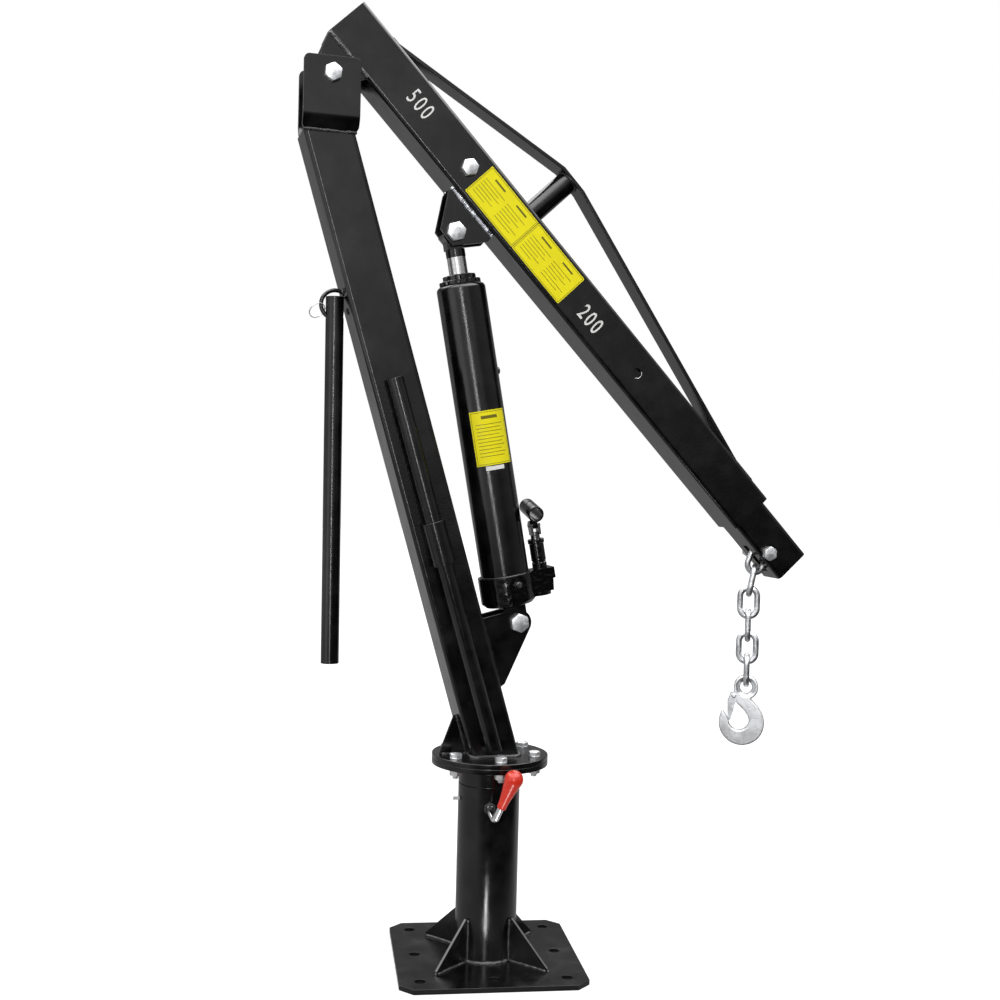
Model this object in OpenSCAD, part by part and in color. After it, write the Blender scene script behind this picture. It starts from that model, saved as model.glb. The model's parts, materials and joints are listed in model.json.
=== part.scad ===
// Swivelling jib crane with a hydraulic jack and a telescopic boom.
// The crane stands on a square bolt-down plate. +Z is up, the boom points
// to +X, and the origin is the centre of the plate's underside.

/* [Base] */
// Side of the square base plate
plate_side = 294; // [260:1:360]
// Thickness of the base plate
plate_t = 8; // [6:1:12]
// Corner chamfer of the base plate
plate_chamfer = 21; // [10:1:30]
// Distance between the outer anchor holes
hole_pitch = 228; // [190:1:236]
// Diameter of the anchor holes
hole_d = 17; // [10:0.5:20]
// How far the plate is turned about the crane's plane
base_turn = 8; // [0:1:15]
// Radius at which the base gussets end on the plate
gusset_reach = 125; // [100:1:140]
// Height of the base gussets on the post
gusset_top = 76; // [60:1:110]
// Thickness of the gussets
gusset_t = 4.5; // [3:0.5:8]

/* [Post and swivel] */
// Outer diameter of the fixed post and of the swivel collar
post_d = 99; // [96:1:104]
// Wall of the fixed post
post_wall = 6; // [5:1:7]
// Height of the seam between the post and the collar
seam_z = 286; // [240:1:300]
// Diameter of both flanges
flange_d = 187; // [180:1:190]
// Thickness of each flange
flange_t = 8; // [6:1:10]
// Height of the top of the upper flange
flange_top = 334; // [325:1:345]
// Radius of the flange bolt circle
bolt_circle = 74; // [70:1:78]
// Angle of the first flange bolt
bolt_phase = 28; // [0:1:59]

/* [Mast] */
// Side of the square mast and boom tubes
tube = 76.2; // [70:0.1:80]
// Wall of the square tubes
tube_wall = 4; // [3:0.5:6]
// Backward lean of the mast
mast_lean = 16.6; // [12:0.1:20]
// Height of the mast's top
mast_top = 1296; // [1250:1:1330]
// Top of the two ears
ear_top = 1405; // [1395:1:1430]
// Thickness of the ears
ear_t = 8; // [6:1:8]
// Clear gap between the ears
ear_gap = 86; // [85:1:90]

/* [Boom] */
// Boom pivot, distance behind the post's axis
pivot_back = 286; // [270:1:300]
// Boom pivot height
pivot_z = 1379; // [1370:0.5:1385]
// Downward slope of the boom at rest
boom_slope = 46.7; // [40:0.1:50]
// Depth of the boom's underside over the pivot
pivot_drop = 39.7; // [38:0.1:45]
// Length of the outer boom
outer_len = 1020; // [980:1:1040]
// Length of the outer boom behind the pivot
outer_back = 52; // [48:1:54]
// Side of the inner boom tube
inner_tube = 64; // [60:0.5:64]
// Length of the inner boom
inner_len = 889; // [800:1:900]
// Distance from the pivot to the inner boom's end
inner_end = 1088.5; // [1060:0.5:1100]
// Distance from the pivot to the extension bolt
lock_at = 237; // [230:1:245]
// Travel between the two extension holes
extension = 421; // [380:1:421]

/* [Jack] */
// Lower jack pin, distance in front of the post's axis
jack_foot_x = 35.6; // [30:0.1:45]
// Lower jack pin height
jack_foot_z = 546.6; // [530:0.1:560]
// Upper jack pin, distance along the boom
clevis_at = 297.6; // [285:0.1:310]
// Upper jack pin, height over the pivot in the boom's frame
clevis_up = -2.3; // [-8:0.1:2]
// Outer diameter of the jack body
jack_d = 78; // [70:1:80]
// Diameter of the ram
ram_d = 30; // [26:1:32]

/* [Chain] */
// Diameter of the chain wire
wire_d = 10; // [8:0.5:10]
// Inner length of a chain link
link_pitch = 38.6; // [34:0.1:42]
// Outer width of a chain link
link_w = 38.5; // [37:0.5:40]
// Number of hanging links
hanging_links = 5; // [3:2:7]
// How far the hanging chain and the hook are twisted towards the crane's near side
chain_twist = 26.8; // [0:0.1:40]

/* [Hidden] */
$fn = 48;
eps = 0.5;

paint = "#1c1d1f";
zinc = "#c6c8ca";
chrome = "#e2e3e5";
red = "#d8442f";

// bolts: pin diameters, distances across flats, head and nut heights
pin_d = 16;
pin_af = 24;
jack_pin_d = 18;
jack_pin_af = 27;
chain_bolt_d = 14;
chain_bolt_af = 21;
flange_bolt_d = 10;
flange_bolt_af = 17;
head_t = 10;
nut_t = 13;
nut_past = 4;
hole_play = 0.4;
pin_play = 1;
pivot_bolt_turn = 85;
lower_bolt_turn = 100;
upper_bolt_turn = boom_slope + 90;
extension_bolt_turn = boom_slope + 85;
chain_bolt_turn = boom_slope + 101;

// post and swivel
post_r = post_d / 2;
post_in = post_r - post_wall;
shaft_r = post_in - 1;
shaft_wall = 8;
shaft_bottom = 120;
swivel_gap = 1;
lower_flange_z = flange_top - 2 * flange_t;
flange_head_t = 8;
flange_nut_t = 11;
flange_bolt_past = 5;

// stop screw and clamp screw; the clamp's own X axis points away from the post
stop_z = 262;
stop_d = 6;
stop_past = 10;
clamp_z = 255;
clamp_angle = -103;
clamp_d = 11;
clamp_arm_d = 10.5;
clamp_elbow = [70, 0, 0];
clamp_bend = [86, 6, -10];
clamp_tip = [96, 17, 18];
clamp_knob = [112, 32.4, 61.6];
clamp_tip_r = 7;
clamp_knob_r = 14.5;
clamp_inside = 0.3;

// mast, ears and gussets
gusset_toe = 4;
corner_r = 7;
mast_back = -tube / 2 / cos(mast_lean);
foot_gusset_x = -84;
foot_gusset_rise = 62;
ear_w = 86;
ear_crank = 18;
ear_corner = 8;
far_ear_shift = 5;

// lower bracket plates and upper clevis plates of the jack
bracket_in = 18;
bracket_t = 7;
bracket_r = 21;
bracket_low = 443;
clevis_in = 16.2;
clevis_t = 6;

// pipe and handle stored on the mast
sleeve_r = 17.5;
sleeve_low = 322;
sleeve_len = 69;
pipe_r = 12.5;
pipe_wall = 2;
pipe_low = 349;
pipe_high = 620;
pipe_y = -tube / 2 - sleeve_r;
pipe_n = -4;
handle_foot = [-263, 0, 483];
handle_r = 14;
handle_len = 568;
handle_lean = 0.46;
hang_centre = [-266.8, 0, 1039];
hang_r = 22;
hang_wire = 3.2;
hang_hole_z = 1021.5;
hang_hole_d = 12;
split_r = 13;
split_wire = 1.1;
split_tilt = 46;
split_turn = 30;
split_at = [-294.7, 0, 1029];

// boom tubes, measured square to the boom from its pivot
boom_mid = pivot_drop + tube / 2;
boom_top = pivot_drop + tube;
inner_sag = 1.8;
inner_mid = boom_mid - inner_sag;
inner_low = inner_mid - inner_tube / 2;
inner_start = inner_end - inner_len;
lug_t = 8;
lug_r = 24;
lug_rear = -51;
lug_front = 36;
slot_from = 1014;
slot_to = 1072;
slot_w = 14;
lock_slot_r = 11;

// strap over the boom, and the strut under its highest point
brace_w = 40;
brace_t = 6;
brace_rise = 86.3;
strut_d = 36;
strut_at = 356;
brace_rear = [13, 26];
brace_peak = [335, 383.5];
brace_front = [888, 932];

// pins in the crane's frame
pivot = [-pivot_back, 0, pivot_z];
along_boom = [cos(boom_slope), 0, -sin(boom_slope)];
over_boom = [sin(boom_slope), 0, cos(boom_slope)];
jack_foot = [jack_foot_x, 0, jack_foot_z];
clevis = pivot + clevis_at * along_boom + clevis_up * over_boom;

// jack: its body is a little more upright than the line between its pins, and
// the lower pin is set off to the front of the body's axis
jack_span = clevis - jack_foot;
jack_skew = 0.4;
jack_offset = 3.9;
jack_lean = atan2(-jack_span[0], jack_span[2]) - jack_skew;
along_jack = [-sin(jack_lean), 0, cos(jack_lean)];
ram_top = jack_span * along_jack;
ram_eye_n = jack_offset + jack_span * [cos(jack_lean), 0, sin(jack_lean)];
tang_half = 13;
tang_r = 19;
base_low = 29;
base_high = 77;
base_r = 44.5;
base_chamfer = 6;
cylinder_high = 545;
shoulder_r = 8;
bore_low = 52;
gland_d = [66, 53];
gland_t = [7, 9];
ram_low = 60;
ram_collar = 588.6;
ram_neck_t = 12;
eye_half = 13;
ram_eye_r = 18;

// release valve in its pocket, and the pump beside the jack
valve_n = 8.4;
valve_t = 62;
valve_d = 10;
valve_y = -47;
pocket_y = -38.5;
pocket_r = 15;
lobe_half = 17;
lobe_disc_n = 55;
lobe_disc_low = 34;
lobe_low = 40;
pump_n = 60;
pump_d = 24;
pump_collar_d = 27;
pump_collar_low = 118;
pump_high = 125;
plunger_d = 15;
fork_low = 136;
fork_r = 7.5;
fork_in = 4.2;
fork_out = 8.2;
fork_pin = [pump_n, -2, 148];
fork_pin_d = 6;
socket_at = [58.5, -6, 172.3];
socket_dip = 12;
socket_turn = 3;
socket_len = 55;
socket_r = 12.8;
socket_bore_r = 10.5;
socket_lug_half = 3.7;

// chain: the anchor link sits on its bolt, and the first hanging link slants
// from it to the plumb chain
link_r = link_w / 2 - wire_d;
link_slack = 0.25;
first_slack = 0.9;
bar_span = link_pitch + wire_d;
anchor_turn = 20.5;
first_tilt = 12;
chain_bolt_at = 1040.6;
chain_bolt_up = inner_mid - 18.8;
chain_bolt_pos = pivot + chain_bolt_at * along_boom + chain_bolt_up * over_boom;
anchor_drop = link_pitch - link_r - chain_bolt_d / 2 - link_slack;
chain_pivot = chain_bolt_pos - anchor_drop * [sin(anchor_turn), 0, cos(anchor_turn)];
bar_drop = link_r - wire_d / 2 - first_slack;
first_bar = chain_pivot - [0, 0, bar_drop];
chain_x = first_bar[0] - bar_span * sin(first_tilt);
second_link_z = first_bar[2] - bar_span * cos(first_tilt) + wire_d + link_slack
                - bar_span / 2;
last_bar_z = second_link_z - (hanging_links - 2) * link_pitch - bar_span / 2;

// hook, measured from the centre of its eye
eye_r = 10;
eye_outer = 20.5;
eye_flare = 6;
eye_flat = 1.5;
hook_half = 7.5;
bowl = [-6.2, -61];
bowl_r = 38;
seat = [-11, -57];
seat_r = 17;
latch_pin = [-20, -15.3];
latch_pin_d = 5;
latch_boss_r = 5.5;
latch_rivet_r = 4.3;
latch_in = 7.9;
latch_t = 1.2;
hook_eye_z = last_bar_z + wire_d / 2 + link_slack - eye_r;

// ---- frames ----------------------------------------------------------

// local X runs along the boom, local Z is square to it
module at_boom() translate(pivot) rotate([0, boom_slope, 0]) children();
// local Z runs up the jack's body, and the lower pin lies on local X
module at_jack() translate(jack_foot) rotate([0, -jack_lean, 0])
    translate([-jack_offset, 0, 0]) children();
// local Z runs up the mast from its foot
module at_mast() translate([0, 0, flange_top]) rotate([0, -mast_lean, 0]) children();
// local X points away from the post at the clamp screw
module at_clamp() translate([0, 0, clamp_z]) rotate([0, 0, clamp_angle]) children();
// plumb line of the hanging chain, with its twist
module at_chain(z) translate([chain_x, 0, z]) rotate([0, 0, -chain_twist]) children();
module at_hook() at_chain(hook_eye_z) children();

// ---- shared shapes ---------------------------------------------------

// solid along Y from y0 to y1 with an outline drawn in the XZ plane
module along_y(y0, y1) translate([0, y1, 0]) rotate([90, 0, 0])
    linear_extrude(y1 - y0) children();

// solid along X from x0 to x1 with an outline drawn in the YZ plane
module along_x(x0, x1) translate([x0, 0, 0]) rotate([90, 0, 90])
    linear_extrude(x1 - x0) children();

module rod_y(d, y0, y1) translate([0, y1, 0]) rotate([90, 0, 0])
    cylinder(d = d, h = y1 - y0);

module rod_x(d, x0, x1) translate([x0, 0, 0]) rotate([0, 90, 0])
    cylinder(d = d, h = x1 - x0);

// hexagon bar along Y, turned so that one corner points at angle turn
module hex_y(af, y0, y1, turn) translate([0, y1, 0]) rotate([90, 0, 0])
    rotate([0, 0, turn]) cylinder(d = af / cos(30), h = y1 - y0, $fn = 6);

// bolt across Y, with its head on the -Y side and a nut on the +Y side
module bolt_y(d, half_grip, af, turn) {
    rod_y(d, -half_grip - eps, half_grip + nut_t + nut_past);
    hex_y(af, -half_grip - head_t, -half_grip, turn);
    hex_y(af, half_grip, half_grip + nut_t, turn);
}

// round rod from point p to point q
module rod_between(p, q, d) {
    v = q - p;
    translate(p) rotate([0, acos(v[2] / norm(v)), atan2(v[1], v[0])])
        cylinder(d = d, h = norm(v));
}

module square_tube(side, wall, length) difference() {
    rounded_bar(side, length, 0, corner_r);
    rounded_bar(side - 2 * wall, length, 1, corner_r - wall);
}

// bar along +X with a square section and rounded edges
module rounded_bar(side, length, past, r) translate([-past, 0, 0]) rotate([90, 0, 90])
    linear_extrude(length + 2 * past) rounded_square(side, side, r);

module rounded_square(w, h, r) union() {
    square([w - 2 * r, h], center = true);
    square([w, h - 2 * r], center = true);
    for (x = [-1, 1], y = [-1, 1])
        translate([x * (w / 2 - r), y * (h / 2 - r)]) circle(r);
}

module ring(r_out, r_in, z0, z1) translate([0, 0, z0]) difference() {
    cylinder(r = r_out, h = z1 - z0);
    translate([0, 0, -1]) cylinder(r = r_in, h = z1 - z0 + 2);
}

// chain link in the XZ plane, long way up Z, centred
module chain_link() {
    limb = link_pitch - 2 * link_r;
    mid_r = link_r + wire_d / 2;
    for (s = [-1, 1]) {
        translate([s * mid_r, 0, -limb / 2]) cylinder(d = wire_d, h = limb);
        translate([0, 0, s * limb / 2]) rotate([90 * s, 0, 0])
            rotate_extrude(angle = 180) translate([mid_r, 0]) circle(d = wire_d);
    }
}

// ---- base and post ---------------------------------------------------

module base_outline() difference() {
    square(plate_side, center = true);
    for (a = [45:90:315]) rotate(a)
        translate([(plate_side - plate_chamfer) / sqrt(2), -plate_side / 2])
            square(plate_side);
}

module base_plate() color(paint) rotate([0, 0, -base_turn]) difference() {
    linear_extrude(plate_t) base_outline();
    for (x = [-1:1], y = [-1:1])
        if (x != 0 || y != 0)
            translate([x * hole_pitch / 2, y * hole_pitch / 2, -1])
                cylinder(d = hole_d, h = plate_t + 2);
}

// triangular gusset against a round post, in the XZ plane
module gusset(height) along_y(-gusset_t / 2, gusset_t / 2)
    polygon([[0, 0], [gusset_reach, 0], [gusset_reach, gusset_toe],
             [post_r + gusset_toe, height], [0, height]]);

module base_gussets() color(paint) translate([0, 0, plate_t]) difference() {
    for (a = [45:90:315]) rotate([0, 0, a - base_turn]) gusset(gusset_top - plate_t);
    translate([0, 0, -1]) cylinder(r = post_r, h = gusset_top);
}

module post_tube() color(paint) difference() {
    ring(post_r, post_in, plate_t, seam_z);
    stop_screw_rod();
    clamp_screw_rod(clamp_d);
}

module stop_screw_rod() translate([0, 0, stop_z])
    rod_x(stop_d, -post_r - stop_past, -post_in - eps);

module stop_screw() color(zinc) stop_screw_rod();

module clamp_screw_rod(d) at_clamp() rod_x(d, post_in + eps, clamp_elbow[0]);

// bent clamp lever: screw, bend and arm, in the clamp's radial frame
module clamp_lever() color(chrome) {
    clamp_screw_rod(clamp_arm_d);
    at_clamp() clamp_arm(clamp_arm_d);
}

module clamp_arm(d) {
    translate(clamp_elbow) sphere(d = d);
    rod_between(clamp_elbow, clamp_bend, d);
    translate(clamp_bend) sphere(d = d);
    rod_between(clamp_bend, clamp_tip + clamp_inside * (clamp_knob - clamp_tip), d);
}

module clamp_grip() color(red) at_clamp() difference() {
    hull() {
        translate(clamp_tip) sphere(r = clamp_tip_r, $fn = 32);
        translate(clamp_knob) sphere(r = clamp_knob_r, $fn = 32);
    }
    clamp_arm(clamp_arm_d);
}

// ---- swivel and flanges ----------------------------------------------

module swivel_shaft() color(zinc)
    ring(shaft_r, shaft_r - shaft_wall, shaft_bottom, lower_flange_z);

module swivel_collar() color(paint)
    ring(post_r, shaft_r, seam_z + swivel_gap, lower_flange_z);

module at_flange_bolts() for (i = [0:5]) rotate([0, 0, bolt_phase + 60 * i])
    translate([bolt_circle, 0, 0]) children();

module flange(z0) difference() {
    translate([0, 0, z0]) cylinder(d = flange_d, h = flange_t, $fn = 96);
    at_flange_bolts() translate([0, 0, z0 - 1])
        cylinder(d = flange_bolt_d + 2 * hole_play, h = flange_t + 2);
}

module lower_flange() color(paint) flange(lower_flange_z);
module upper_flange() color(paint) flange(lower_flange_z + flange_t);

module flange_bolts() color(zinc) at_flange_bolts() {
    nut_low = lower_flange_z - flange_nut_t;
    translate([0, 0, nut_low - flange_bolt_past])
        cylinder(d = flange_bolt_d, h = flange_top + 1 - nut_low + flange_bolt_past);
    translate([0, 0, flange_top])
        cylinder(d = flange_bolt_af / cos(30), h = flange_head_t, $fn = 6);
    translate([0, 0, nut_low])
        cylinder(d = flange_bolt_af / cos(30), h = flange_nut_t, $fn = 6);
}

// ---- mast -----------------------------------------------------------

module mast_solid(side, r, past) intersection() {
    at_mast() translate([0, 0, -60]) linear_extrude(1200)
        rounded_square(side, side, r);
    translate([-500, -100, flange_top - past])
        cube([700, 200, mast_top - flange_top + 2 * past]);
}

module mast_tube() color(paint) difference() {
    mast_solid(tube, corner_r, 0);
    mast_solid(tube - 2 * tube_wall, corner_r - tube_wall, 1);
}

module mast_foot_gusset() color(paint) {
    top_x = mast_back - foot_gusset_rise * tan(mast_lean);
    along_y(-gusset_t / 2, gusset_t / 2) polygon([
        [mast_back, flange_top], [foot_gusset_x, flange_top],
        [foot_gusset_x, flange_top + gusset_toe],
        [top_x - 4, flange_top + foot_gusset_rise], [top_x, flange_top + foot_gusset_rise]]);
}

// cranked ear: its foot stands on the mast's wall, and its upper part is set out
module ear_outline(shift) difference() {
    translate([pivot[0] + shift, (mast_top + ear_top) / 2])
        rounded_square(ear_w, ear_top - mast_top, ear_corner);
    translate([pivot[0], pivot_z]) circle(d = pin_d + hole_play);
}

// section of an ear in the YZ plane
module ear_section(side) {
    inner = ear_gap / 2;
    foot = tube / 2 - ear_t;
    bend = mast_top + ear_crank;
    polygon([[side * foot, mast_top], [side * (foot + ear_t), mast_top],
             [side * (inner + ear_t), bend], [side * (inner + ear_t), ear_top + 1],
             [side * inner, ear_top + 1], [side * inner, bend]]);
}

module ear(side, shift) color(paint) intersection() {
    along_y(-tube, tube) ear_outline(shift);
    along_x(-2 * pivot_back, 0) ear_section(side);
}

module ear_near() ear(-1, 0);
module ear_far() ear(1, far_ear_shift);

module pivot_bolt() color(zinc) translate(pivot)
    bolt_y(pin_d, ear_gap / 2 + ear_t, pin_af, pivot_bolt_turn);

// ---- jack brackets on the mast ---------------------------------------

function mast_front(z) = tube / 2 / cos(mast_lean) - (z - flange_top) * tan(mast_lean);

module bracket_outline() difference() {
    union() {
        translate([jack_foot_x, jack_foot_z]) circle(bracket_r);
        polygon([[mast_front(jack_foot_z + 6), jack_foot_z + 6],
                 [jack_foot_x - 5, jack_foot_z + bracket_r - 0.6],
                 [jack_foot_x, jack_foot_z],
                 [jack_foot_x + 19.2, jack_foot_z - 8.6], [15, bracket_low + 6],
                 [mast_front(bracket_low), bracket_low]]);
    }
    translate([jack_foot_x, jack_foot_z]) circle(d = jack_pin_d + hole_play);
}

module jack_brackets() color(paint) for (s = [-1, 1]) {
    y = s * (bracket_in + bracket_t / 2);
    along_y(y - bracket_t / 2, y + bracket_t / 2) bracket_outline();
}

module lower_jack_bolt() color(zinc) translate(jack_foot)
    bolt_y(jack_pin_d, bracket_in + bracket_t, jack_pin_af, lower_bolt_turn);

// ---- things stored on the mast ---------------------------------------

module at_pipe(t) at_mast() translate([pipe_n, pipe_y, t]) children();

module pipe_sleeve() color(paint) at_pipe(sleeve_low) difference() {
    cylinder(r = sleeve_r, h = sleeve_len);
    translate([0, 0, -1]) cylinder(r = pipe_r + 1, h = sleeve_len + 2);
}

module stored_pipe() color(paint) intersection() {
    at_pipe(0) difference() {
        cylinder(r = pipe_r, h = pipe_high);
        translate([0, 0, -1]) cylinder(r = pipe_r - pipe_wall, h = pipe_high + 2);
    }
    translate([-400, -100, pipe_low]) cube([500, 200, 800]);
}

// bent rod that is welded to the mast and passes through the hanging handle
module handle_hook() color(paint) difference() {
    translate(hang_centre) rotate([90, 0, 0]) rotate([0, 0, 20])
        rotate_extrude(angle = 280) translate([hang_r, 0]) circle(hang_wire);
    mast_solid(tube, corner_r, 0);
}

module split_ring() color(zinc) translate(split_at) rotate([0, -split_turn, 0])
    rotate([90 + split_tilt, 0, 0]) rotate_extrude() translate([split_r, 0]) circle(split_wire);

module pump_handle() color(paint) difference() {
    translate(handle_foot) rotate([0, -handle_lean, 0]) difference() {
        cylinder(r = handle_r, h = handle_len);
        translate([0, 0, -1]) cylinder(r = handle_r - pipe_wall, h = handle_len + 2);
    }
    translate([handle_foot[0], 0, hang_hole_z])
        rod_x(hang_hole_d, -2 * handle_r, 2 * handle_r);
}

// ---- boom -----------------------------------------------------------

module boom_tube() color(paint) at_boom() difference() {
    translate([-outer_back, 0, boom_mid]) square_tube(tube, tube_wall, outer_len);
    for (x = [lock_at, lock_at + extension])
        translate([x, 0, inner_mid]) rod_y(pin_d + hole_play, -tube, tube);
}

module boom_lugs() color(paint) at_boom() difference() {
    union() {
        for (s = [-1, 1]) {
            y = s * (tube / 2 - lug_t / 2);
            along_y(y - lug_t / 2, y + lug_t / 2) union() {
                circle(lug_r);
                polygon([[lug_rear, pivot_drop], [lug_rear + 7, 24], [lug_rear + 12, 15],
                         [-lug_r + 3, -9], [lug_r - 1, 6], [lug_front, pivot_drop]]);
            }
        }
        rod_y(pin_d + 10, -tube / 2 + 1, tube / 2 - 1);
    }
    rod_y(pin_d + pin_play, -tube, tube);
}

module clevis_outline() translate([clevis_at, clevis_up]) difference() {
    up = pivot_drop - clevis_up;
    polygon([[-55.6, up], [-53.6, 33.3], [-18.6, -15], [13.4, -17.5], [44.4, 29.6],
             [42.9, up]]);
    circle(d = jack_pin_d + hole_play);
}

module clevis_plates() color(paint) at_boom() for (s = [-1, 1]) {
    y = s * (clevis_in + clevis_t / 2);
    along_y(y - clevis_t / 2, y + clevis_t / 2) clevis_outline();
}

module upper_jack_bolt() color(zinc) at_boom() translate([clevis_at, 0, clevis_up])
    bolt_y(jack_pin_d, clevis_in + clevis_t, jack_pin_af, upper_bolt_turn);

module brace_bar() color(paint) at_boom() translate([0, 0, boom_top])
    along_y(-brace_w / 2, brace_w / 2) polygon([
        [brace_rear[0], 0], [brace_rear[1] + 1, 0], [brace_peak[0] + 1, brace_rise],
        [brace_peak[1] - 1, brace_rise], [brace_front[0] - 1, 0], [brace_front[1], 0],
        [brace_front[1], brace_t], [brace_front[0], brace_t],
        [brace_peak[1], brace_rise + brace_t], [brace_peak[0], brace_rise + brace_t],
        [brace_rear[1], brace_t], [brace_rear[0], brace_t]]);

module brace_strut() color(paint) at_boom() translate([strut_at, 0, boom_top])
    cylinder(d = strut_d, h = brace_rise);

module extension_bolt() color(zinc) at_boom() translate([lock_at, 0, inner_mid])
    bolt_y(pin_d, tube / 2, pin_af, extension_bolt_turn);

// slot in both side walls of the inner boom, open to the rear
module lock_slot() translate([inner_start, 0, inner_mid]) {
    depth = lock_at - inner_start;
    translate([-1, -tube, -lock_slot_r]) cube([depth + 1, 2 * tube, 2 * lock_slot_r]);
    translate([depth, 0, 0]) rod_y(2 * lock_slot_r, -tube, tube);
}

module inner_boom() color(paint) at_boom() difference() {
    translate([inner_start, 0, inner_mid]) square_tube(inner_tube, tube_wall, inner_len);
    lock_slot();
    translate([chain_bolt_at, 0, chain_bolt_up])
        rod_y(chain_bolt_d + hole_play, -tube, tube);
    translate([slot_from, -slot_w / 2, inner_low - 1])
        cube([slot_to - slot_from, slot_w, tube_wall + 2]);
}

module chain_bolt() color(zinc) at_boom() translate([chain_bolt_at, 0, chain_bolt_up])
    bolt_y(chain_bolt_d, inner_tube / 2, chain_bolt_af, chain_bolt_turn);

// ---- chain and hook ---------------------------------------------------

module anchor_link() color(zinc) translate(chain_pivot) rotate([0, anchor_turn, 0])
    translate([0, 0, link_pitch / 2 - link_r]) chain_link();

module chain_links() color(zinc) {
    translate(first_bar) rotate([0, first_tilt, 0]) rotate([0, 0, 90 - chain_twist])
        translate([0, 0, -bar_span / 2]) chain_link();
    for (i = [0:hanging_links - 2]) at_chain(second_link_z - i * link_pitch)
        rotate([0, 0, i % 2 == 0 ? 0 : 90]) chain_link();
}

// forged hook with a round bowl; its tip points up on the -X side
module hook_outline() difference() {
    union() {
        circle(eye_outer);
        translate(bowl) circle(bowl_r);
        translate(latch_pin) circle(latch_boss_r);
        polygon([[-19, -8], [-24.5, -13], [-20, -21], [-16.4, -25], [6, -57],
                 [22.3, -34.2], [9.1, -20.9], [9.6, -15.8]]);
    }
    circle(eye_r);
    translate(seat) circle(seat_r);
    polygon([[6, -57], [4, -48.5], [-3.2, -38.3], [-12.3, -30.1], [-16.4, -25],
             [-40, -15], [-60, -36], [-43.5, -40.5], [-38.9, -40.3], [-33.8, -47.4],
             [-29.2, -54.1], [-28, -57]]);
}

module hook() color(zinc) at_hook() {
    difference() {
        along_y(-hook_half, hook_half) hook_outline();
        for (a = [-90, 90]) rotate([a, 0, 0]) translate([0, 0, eye_flat])
            cylinder(r1 = eye_r, r2 = eye_r + eye_flare, h = hook_half - eye_flat + 0.1);
        at_latch_pin() rod_y(latch_pin_d, -hook_half - 1, hook_half + 1);
    }
    at_latch_pin() latch_rivet();
}

module at_latch_pin() translate([latch_pin[0], 0, latch_pin[1]]) children();

module latch_rivet() {
    outside = latch_in + latch_t + 0.3;
    rod_y(latch_pin_d, -outside - 1, outside + 1);
    for (s = [-1, 1]) translate([0, s * (outside + 0.5), 0])
        rod_y(2 * latch_rivet_r, -0.5, 0.5);
}

module latch_cheek() difference() {
    union() {
        translate(latch_pin) circle(latch_boss_r + 1);
        polygon([[-25.5, -12.5], [-30.5, -24], [-29.6, -52], [-27.3, -57], [-24.7, -56],
                 [-17, -27], [-13.8, -17]]);
    }
    translate(latch_pin) circle(d = latch_pin_d + 2 * hole_play);
}

// folded sheet: two cheeks outside the hook and a back that shuts against its tip
module hook_latch() color(zinc) at_hook() {
    for (s = [-1, 1]) {
        y = s * (latch_in + latch_t / 2);
        along_y(y - latch_t / 2, y + latch_t / 2) latch_cheek();
    }
    along_y(-latch_in, latch_in) polygon([
        [-29.8, -22.4], [-30.5, -24], [-29.6, -52], [-28.4, -54.6], [-28.4, -24]]);
}

// ---- jack -----------------------------------------------------------

module jack_tang() color(paint) at_jack() translate([jack_offset, 0, 0]) difference() {
    along_y(-tang_half, tang_half) union() {
        circle(tang_r);
        translate([-tang_r, 0]) square([2 * tang_r, base_low]);
    }
    rod_y(jack_pin_d + pin_play, -tang_half - 1, tang_half + 1);
}

module jack_bore() translate([0, 0, bore_low]) cylinder(d = ram_d + 2, h = 600);

// flat pocket at the front of the base, open downwards, with the valve in it
module valve_pocket() translate([valve_n, 0, valve_t]) {
    rod_y(2 * pocket_r, -2 * base_r, pocket_y);
    translate([-pocket_r, pocket_y - base_r, -base_high]) cube([2 * pocket_r, base_r, base_high]);
    rod_y(valve_d, valve_y, pocket_y + 8);
}

module jack_base() color(paint) at_jack() difference() {
    union() {
        translate([0, 0, base_low])
            cylinder(r1 = base_r - base_chamfer, r2 = base_r, h = base_chamfer);
        ring_low = base_low + base_chamfer;
        translate([0, 0, ring_low]) cylinder(r = base_r, h = base_high - ring_low);
        along_y(-lobe_half, lobe_half) polygon([
            [25, lobe_low], [73, lobe_low], [75, 59], [79, 60], [79, base_high],
            [25, base_high]]);
        translate([lobe_disc_n, 0, lobe_disc_low])
            cylinder(r = lobe_half, h = lobe_low - lobe_disc_low + 1);
    }
    jack_bore();
    valve_pocket();
}

// tube with a rounded shoulder at its top
module jack_cylinder() color(paint) at_jack() difference() {
    translate([0, 0, base_high]) rotate_extrude() jack_profile();
    jack_bore();
}

module jack_profile() {
    high = cylinder_high - base_high;
    square([jack_d / 2, high - shoulder_r]);
    square([jack_d / 2 - shoulder_r, high]);
    translate([jack_d / 2 - shoulder_r, high - shoulder_r]) circle(shoulder_r);
}

module gland_nut() color(paint) at_jack() difference() {
    union() {
        translate([0, 0, cylinder_high]) cylinder(d = gland_d[0], h = gland_t[0]);
        translate([0, 0, cylinder_high + gland_t[0]]) cylinder(d = gland_d[1], h = gland_t[1]);
    }
    translate([0, 0, cylinder_high - 1]) cylinder(d = ram_d + 1.2, h = 40);
}

module release_valve() color(zinc) at_jack() translate([valve_n, 0, valve_t])
    rod_y(valve_d, valve_y, pocket_y + 8);

module pump_cylinder() color(paint) at_jack() translate([pump_n, 0, 0]) {
    translate([0, 0, base_high]) cylinder(d = pump_d, h = pump_collar_low - base_high);
    translate([0, 0, pump_collar_low])
        cylinder(d = pump_collar_d, h = pump_high - pump_collar_low);
}

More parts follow.
